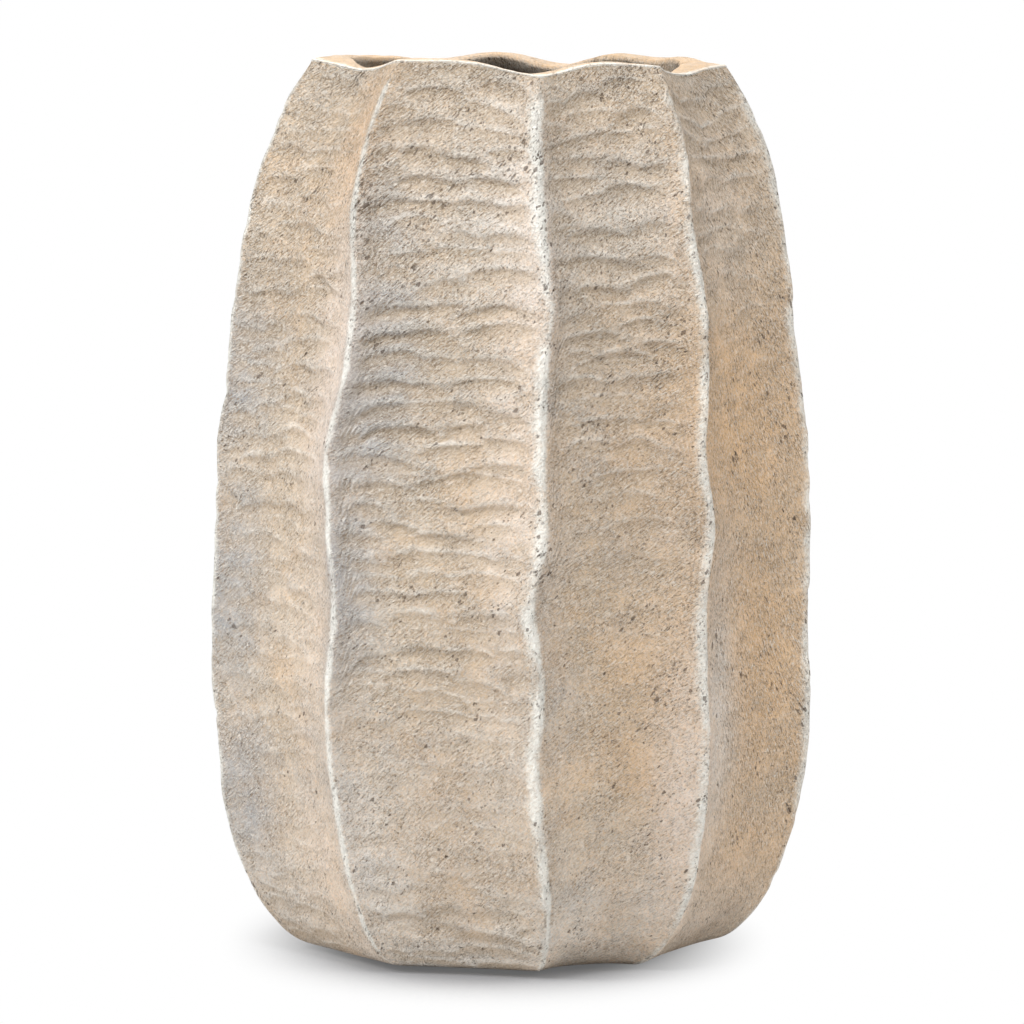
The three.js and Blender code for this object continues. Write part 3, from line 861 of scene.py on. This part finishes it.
def clay_finish(colours):
    """Rough unglazed clay: sandy grain, slanting scratches, pits, pale worn edges and
    patches of grey, ochre, pink and chalky bloom, with painted shade in the gouges, pits and
    inside and on flanks away from the key lamp, and painted highlights on ridges, crests, the rim and
    flanks facing it"""
    finish = Finish(bpy.data.materials.new("rough_clay"))
    spot = finish.add("ShaderNodeTexCoord", output="Object")
    panel_map = finish.add("ShaderNodeUVMap", {"uv_map": "panels"})

    clouds = finish.noise(spot, 11.0, 4.0, 0.6)
    mottle = finish.noise(spot, 60.0, 4.0, 0.65)
    sand = finish.noise(spot, 420.0, 3.0, 0.7)
    grain = finish.noise(spot, 900.0, 2.0, 0.7)
    strokes = finish.noise(finish.drawn_out(panel_map, 0.0, 4.2), 1300.0, 2.0, 0.6)
    crossing = finish.noise(finish.drawn_out(panel_map, 55.0, 4.2), 1000.0, 2.0, 0.6)
    streak = strokes * 0.6 + crossing * 0.4
    dashed = finish.noise(finish.drawn_out(panel_map, 8.0, 5.0), 820.0, 1.0, 0.5)
    dashes = finish.step(dashed, 0.60, 0.66) - finish.step(dashed, 0.40, 0.34)
    rough_map = finish.shaken(panel_map, 500.0, 0.0022)
    broken = finish.step(grain, 0.42, 0.58)
    pale_curl = finish.curls(finish.drawn_out(rough_map, 10.0, 1.8), 430.0, 0.06) * broken
    dark_curl = finish.curls(finish.drawn_out(rough_map, -12.0, 2.0), 380.0, 0.05) * (1.0 - broken)

    tone = finish.step(clouds * 0.5 + mottle * 0.35 + sand * 0.15, 0.40, 0.60)
    colour = finish.mix(tone, rgba(colours.dark), rgba(colours.light))
    warm = finish.step(finish.noise(spot, 26.0, 4.0, 0.6), 0.46, 0.64)
    cool = finish.step(finish.noise(spot, 33.0, 4.0, 0.6), 0.52, 0.68)
    colour = finish.mix(warm * 0.30, colour, rgba(colours.ochre))
    colour = finish.mix(cool * 0.30, colour, rgba(colours.smoke))
    flecks = finish.noise(spot, 620.0, 2.0, 0.6)
    unevenness = (mottle - 0.5) * 1.6 + (sand - 0.5) * 0.8
    # Grey patches are partly painted shade, pink and chalky ones partly painted light
    tints = {name: finish.attribute(name) for name in ("smoke", "ochre", "blush", "bloom")}
    for name, amount in tints.items():
        stain = rgba(getattr(colours, name))
        colour = finish.mix((amount * (1.0 + unevenness)).clamped(), colour, stain)
    smoke, blush = tints["smoke"], tints["blush"]
    torn, lip = finish.attribute("torn"), finish.attribute("lip")
    colour = finish.mix(lip * 0.30, colour, rgba(colours.ochre))
    sandy = finish.step(finish.noise(spot, 42.0, 3.0, 0.6), 0.36, 0.60)
    roughly = ((0.45 + sandy * 0.45) * (1.0 - blush * 0.5) + torn * 0.95) * (1.0 - lip * 0.8)
    warm_flecks = finish.step(flecks, 0.52, 0.66) * (0.38 - smoke * 0.25)
    grey_flecks = finish.step(flecks, 0.48, 0.34) * 0.32
    colour = finish.mix(warm_flecks, colour, rgba(colours.ochre))
    colour = finish.mix(grey_flecks, colour, rgba(colours.smoke))

    # Painted shade in the gouges, and on their ridges a highlight that is partly worn, partly painted
    gouged = finish.attribute("gouged")
    ridge = finish.attribute("ridge")
    gouge_shade = gouged * (0.45 + unevenness * 0.3) - ridge * 0.3
    colour = finish.mix(gouge_shade.clamped(), colour, rgba(colours.dark))
    colour = finish.mix((ridge * (0.5 + unevenness)).clamped(), colour, rgba(colours.sand))

    grit = (grain - 0.5) * 1.3 + (streak - 0.5) * 3.2 + (sand - 0.5) * 0.9 + dashes * 0.55
    pale = (grit * 0.9 + pale_curl * 0.45) * roughly
    colour = finish.mix(pale.clamped(), colour, rgba(colours.sand))
    colour = finish.mix(((dark_curl * 0.3 - grit) * roughly).clamped(), colour, rgba(colours.shade))

    # Chalk on crests and rim: worn clay, and painted highlight on lit flanks and the rim's edge
    wear = finish.attribute("wear")
    worn = finish.step(wear + (mottle - 0.5) * 0.9 + (sand - 0.5) * 0.5, 0.25, 1.00)
    colour = finish.mix((worn * (0.80 + grit * 0.40)).clamped(), colour, rgba(colours.chalk))

    # Painted shade of the pot's inside: below the pale mouth it turns to the hollow colour
    inside = finish.attribute("inside")
    inside_shade = inside * (0.85 + unevenness * 0.4 - (streak - 0.5) * 3.0)
    colour = finish.mix(inside_shade.clamped(), colour, rgba(colours.hollow))

    slant = finish.drawn_out(rough_map, 0.0, 1.7)
    long_slant = finish.drawn_out(rough_map, -8.0, 6.0)
    clumps = (finish.noise(spot, 38.0, 2.0, 0.5) - 0.5) * 0.8 + wear * 0.1 + (torn - 0.3) * 0.15
    tear = finish.holes(slant, 120.0, 0.95, 0.16, clumps * 0.3)
    pit = finish.holes(slant, 280.0, 0.82, 0.28, clumps * 0.8)
    speck = finish.holes(slant, 600.0, 0.70, 0.36, clumps)
    scratch = finish.holes(long_slant, 460.0, 0.84, 0.24, clumps * 0.6)
    # Painted shade in the tears, pits, specks and scratches
    dark = ((tear * 0.6 + pit * 0.7 + speck * 0.55 + scratch * 0.6) * (1.0 - lip * 0.7)).clamped()
    colour = finish.mix(dark, colour, rgba(colours.pit))

    fine_relief = (grain * 0.6 + streak * 1.6 + sand * 1.2 + dashes * 0.22
                   + pale_curl * 0.4 - dark_curl * 0.5)
    relief = (fine_relief * roughly + mottle * (1.8 - lip * 1.5) + inside * streak * 3.0
              - tear * 1.6 - pit * 1.4 - speck * 0.9 - scratch * 0.9)
    return finish.surface(finish.coat(colour, 0.93, relief, MM, specular=0.25))


def rubber_finish():
    """Dull dark rubber with a little dust"""
    finish = Finish(bpy.data.materials.new("dark_rubber"))
    spot = finish.add("ShaderNodeTexCoord", output="Object")
    dust = finish.step(finish.noise(spot, 130.0, 4.0, 0.6), 0.5, 0.75)
    colour = finish.mix(dust * 0.25, (0.030, 0.029, 0.028, 1.0), (0.160, 0.150, 0.140, 1.0))
    relief = finish.noise(spot, 2400.0)
    return finish.surface(finish.coat(colour, dust * 0.2 + 0.55, relief, 0.1 * MM, strength=0.4))


def floor_finish():
    """A pale floor that keeps the pot's shadow, adds a painted contact shadow near the pot, and is white
    to the camera further off
    """
    finish = Finish(bpy.data.materials.new("pale_floor"))
    seen = sum((finish.add("ShaderNodeLightPath", output=ray)
                for ray in ("Is Camera Ray", "Is Glossy Ray", "Is Transmission Ray")), 0.0)
    # A painted contact shadow: near the pot the camera sees the floor's colour darkened by occlusion
    openness = finish.add("ShaderNodeAmbientOcclusion", {"samples": 12}, {"Distance": 0.22}, "AO")
    shaded = seen * finish.step(openness, 0.95, 0.35)
    colour = finish.mix(shaded.clamped(), (0.80, 0.80, 0.80, 1.0), (0.20, 0.20, 0.21, 1.0))
    ground = finish.add("ShaderNodeBsdfDiffuse", None, {"Color": colour})
    white = finish.add("ShaderNodeEmission", None, {"Strength": 1.0})
    spot = finish.add("ShaderNodeTexCoord", output="Object")
    oval = finish.add("ShaderNodeMapping", None,
                      {"Vector": spot, "Scale": (1.55, 1.0, 1.0), "Location": (0.02, 0.0, 0.0)})
    distance = finish.add("ShaderNodeVectorMath", {"operation": "LENGTH"}, {0: oval}, "Value")
    far = seen * (finish.step(distance, 0.14, 0.30) * 0.88 + 0.12)
    return finish.surface(finish.add("ShaderNodeMixShader", None, {0: far.clamped(), 1: ground, 2: white}))


def studio_air():
    """Even light from all round, which the camera sees as white"""
    finish = Finish(bpy.data.worlds.new("studio"))
    seen = finish.add("ShaderNodeLightPath", output="Is Camera Ray")
    dim = finish.add("ShaderNodeBackground", None,
                     {"Color": (0.97, 0.985, 1.0, 1.0), "Strength": 0.28})
    white = finish.add("ShaderNodeBackground", None,
                       {"Color": (1.0, 1.0, 1.0, 1.0), "Strength": 1.0})
    air = finish.add("ShaderNodeMixShader", None, {0: seen, 1: dim, 2: white})
    return finish.surface(air, "World")


class PLANTER_OT_stage(bpy.types.Operator):
    """Sets up the photograph's camera, a pale floor and soft studio light"""
    bl_idname = "planter.stage"
    bl_label = "Stage"

    def execute(self, context):
        plan = context.scene.planter_stage
        self.place_camera(context, plan)
        start_afresh()
        bpy.ops.mesh.primitive_plane_add(size=40.0)
        named("floor", floor_finish())
        for name, (place, size) in LAMPS.items():
            self.light(context, place, size, getattr(plan, name))
        context.scene.world = studio_air()
        context.scene.view_settings.view_transform = "Standard"
        return {"FINISHED"}

    def place_camera(self, context, plan):
        place = (plan.aside, -plan.distance, plan.eye)
        start_afresh()
        bpy.ops.object.camera_add(location=place, rotation=facing(place, (plan.aside, 0.0, plan.aim)))
        camera = context.object
        camera.name = "photo_camera"
        camera.data.sensor_fit = "HORIZONTAL"
        camera.data.angle = plan.angle
        camera.data.clip_end = 60.0
        context.scene.camera = camera

    def light(self, context, place, size, power):
        start_afresh()
        bpy.ops.object.light_add(type="AREA", location=place, rotation=facing(place, LIT_PLACE))
        lamp = context.object
        lamp.data.size = size
        lamp.data.energy = power


class PLANTER_OT_pot(bpy.types.Operator):
    """Models the carved clay pot"""
    bl_idname = "planter.pot"
    bl_label = "Clay pot"

    def execute(self, context):
        scene = context.scene
        skin = PotSkin(scene.planter_shape, scene.planter_marks)
        points, masks = skin.build()
        rows, columns = points.shape[:2]
        start_afresh()
        bpy.ops.mesh.primitive_grid_add(x_subdivisions=columns - 1, y_subdivisions=rows - 1, size=1.0)
        pot = named("planter_clay", clay_finish(scene.planter_colours))
        mesh = pot.data
        if len(mesh.vertices) != rows * columns:
            raise RuntimeError("the sheet of clay has another number of points than the pot's skin")
        mesh.vertices.foreach_set("co", points.astype(np.float32).ravel())
        for name, (plan, seed, amount) in PATCHES.items():
            masks[name] = patches(skin, points, list(plan) + back_patches(seed, amount))
        masks["torn"] = np.maximum(0.45 * smooth(0.20, 0.60, points[..., 2]), masks["torn"])
        for name, values in masks.items():
            layer = mesh.attributes.new(name, "FLOAT", "POINT")
            layer.data.foreach_set("value", values.astype(np.float32).ravel())
        self.map_panels(mesh, skin, points)
        bpy.ops.object.mode_set(mode="EDIT")
        bpy.ops.mesh.select_all(action="SELECT")
        bpy.ops.mesh.remove_doubles(threshold=1e-6)
        bpy.ops.object.mode_set(mode="OBJECT")
        bpy.ops.object.shade_smooth()
        mount(pot, "pot", "clay", "planter_body")
        return {"FINISHED"}

    def map_panels(self, mesh, skin, points):
        """A flat map of each panel by itself, turned so that its scratches lie along X"""
        rows, columns = points.shape[:2]
        middle = points[:, skin.PANEL_COLUMNS // 2]
        length = np.concatenate([[0.0], np.cumsum(np.linalg.norm(np.diff(middle, axis=0), axis=-1))])
        along = np.repeat(length[:, None], columns, axis=1)
        outside = slice(0, skin.ROWS)
        levels = skin.levels
        along[outside] = np.interp(levels, levels[:, skin.PANEL_COLUMNS // 2], length[outside])
        corners = np.zeros(len(mesh.loops), np.int32)
        mesh.loops.foreach_get("vertex_index", corners)
        faces = corners.reshape(-1, 4)
        row, column = corners // columns, corners % columns
        face_column = np.repeat(faces.min(1) % columns, 4)
        across = skin.across[column]
        at_right = (column != face_column) & (across < skin.across[face_column])
        across = np.where(at_right, 1.0, across)
        panel = skin.panel[face_column]
        lean = np.radians([spec["grain"] for spec in PANELS])[panel]
        flat_x, flat_y = across * skin.usual_width + panel * MAP_STEP, along[row, column]
        turned_x = flat_x * np.cos(lean) + flat_y * np.sin(lean)
        turned_y = flat_y * np.cos(lean) - flat_x * np.sin(lean)
        layer = mesh.uv_layers.active or mesh.uv_layers.new()
        layer.name = "panels"
        layer.data.foreach_set("uv", np.column_stack([turned_x, turned_y]).astype(np.float32).ravel())


class PLANTER_OT_stopper(bpy.types.Operator):
    """Models the rubber stopper of the drain hole"""
    bl_idname = "planter.stopper"
    bl_label = "Drain stopper"

    def execute(self, context):
        shape = context.scene.planter_shape
        flange_low = POT_LOW.z + shape.base - shape.well_depth
        clearance = 0.3 * MM
        shank = shape.drain_radius - clearance
        low, high = STOPPER_LOW.z, STOPPER_HIGH.z
        flange = STOPPER_HIGH.x
        rib, groove = 1.2 * MM, 0.9 * MM
        outline = [(shank - 2.2 * MM, low), (shank - 1.5 * MM, low + 0.8 * MM)]
        for number in range(3):
            start = low + (2.0 + 3.2 * number) * MM
            outline += [(shank - groove, start), (shank, start + rib / 2),
                        (shank, start + rib), (shank - groove, start + 1.6 * rib)]
        outline += [(shank - 0.2 * MM, flange_low), (flange - 0.5 * MM, flange_low),
                    (flange, flange_low + 0.5 * MM), (flange, flange_low + 2.2 * MM),
                    (flange - 0.8 * MM, flange_low + 3.0 * MM)]
        outline += [(radius * MM, flange_low + height * MM) for radius, height in KNOB]
        outline += [(5.6 * MM, high - 0.5 * MM), (3.6 * MM, high)]
        start_afresh()
        first_radius, first_height = outline[0]
        bpy.ops.mesh.primitive_circle_add(vertices=64, radius=first_radius, fill_type="NGON",
                                          location=(0.0, 0.0, first_height))
        stopper = named("drain_stopper", rubber_finish())
        apply_placing()
        bpy.ops.object.mode_set(mode="EDIT")
        bpy.ops.mesh.select_all(action="SELECT")
        radius, height = first_radius, first_height
        for next_radius, next_height in outline[1:]:
            rise = (0.0, 0.0, next_height - height)
            bpy.ops.mesh.extrude_region_move(TRANSFORM_OT_translate={"value": rise})
            spread = next_radius / radius
            bpy.ops.transform.resize(value=(spread, spread, 1.0),
                                     center_override=(0.0, 0.0, next_height))
            radius, height = next_radius, next_height
        bpy.ops.mesh.select_all(action="SELECT")
        bpy.ops.mesh.normals_make_consistent(inside=False)
        bpy.ops.object.mode_set(mode="OBJECT")
        bpy.ops.object.shade_smooth_by_angle(angle=math.radians(40))
        mount(stopper, "plug", "rubber", "drain_plug")
        return {"FINISHED"}


class PLANTER_OT_pads(bpy.types.Operator):
    """Models the pads under the foot, one and then its copies"""
    bl_idname = "planter.pads"
    bl_label = "Foot pads"

    def execute(self, context):
        radius = (PAD_HIGH.x - PAD_LOW.x) / 2
        thickness = PAD_HIGH.z - PAD_LOW.z
        start_afresh()
        bpy.ops.mesh.primitive_cylinder_add(vertices=64, radius=radius, depth=thickness,
                                            location=(0.0, 0.0, thickness / 2))
        pattern = named("pad_pattern", rubber_finish())
        apply_placing()
        bevel = pattern.modifiers.new("soft_edge", "BEVEL")
        bevel.width = 0.5 * MM
        bevel.segments = 3
        bevel.angle_limit = math.radians(50)
        bpy.ops.object.modifier_apply(modifier=bevel.name)
        bpy.ops.object.shade_smooth_by_angle(angle=math.radians(40))
        for node in PAD_NODES:
            low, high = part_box(node)
            pad = pattern.copy()
            pad.data = pattern.data.copy()
            pad.name = pad.data.name = node.replace("foot_pad", "rubber_pad")
            context.scene.collection.objects.link(pad)
            start_afresh()
            pad.select_set(True)
            context.view_layer.objects.active = pad
            bpy.ops.transform.translate(value=((low.x + high.x) / 2, (low.y + high.y) / 2, 0.0))
            apply_placing()
            mount(pad, "pot", "rubber", node)
        bpy.data.objects.remove(pattern)
        return {"FINISHED"}


class PLANTER_PT_sidebar(bpy.types.Panel):
    """Lists the planter's pieces in the sidebar"""
    bl_idname = "PLANTER_PT_sidebar"
    bl_label = "Carved planter"
    bl_space_type = "VIEW_3D"
    bl_region_type = "UI"
    bl_category = "Planter"

    def draw(self, context):
        for operator in OPERATORS:
            self.layout.operator(operator.bl_idname)
        for group in SETTINGS:
            for name in SETTINGS[group].__annotations__:
                self.layout.prop(getattr(context.scene, group), name)


SETTINGS = {
    "planter_shape": PlanterShape,
    "planter_marks": CarvingMarks,
    "planter_colours": ClayColours,
    "planter_stage": StagePlan,
}
OPERATORS = (PLANTER_OT_stage, PLANTER_OT_pot, PLANTER_OT_stopper, PLANTER_OT_pads)


def register():
    for group, kind in SETTINGS.items():
        bpy.utils.register_class(kind)
        setattr(bpy.types.Scene, group, PointerProperty(type=kind))
    for kind in (*OPERATORS, PLANTER_PT_sidebar):
        bpy.utils.register_class(kind)


def unregister():
    for kind in (PLANTER_PT_sidebar, *reversed(OPERATORS)):
        bpy.utils.unregister_class(kind)
    for group, kind in SETTINGS.items():
        delattr(bpy.types.Scene, group)
        bpy.utils.unregister_class(kind)


def main():
    register()
    bpy.ops.planter.stage()
    bpy.ops.planter.pot()
    bpy.ops.planter.stopper()
    bpy.ops.planter.pads()


if __name__ == "__main__":
    main()
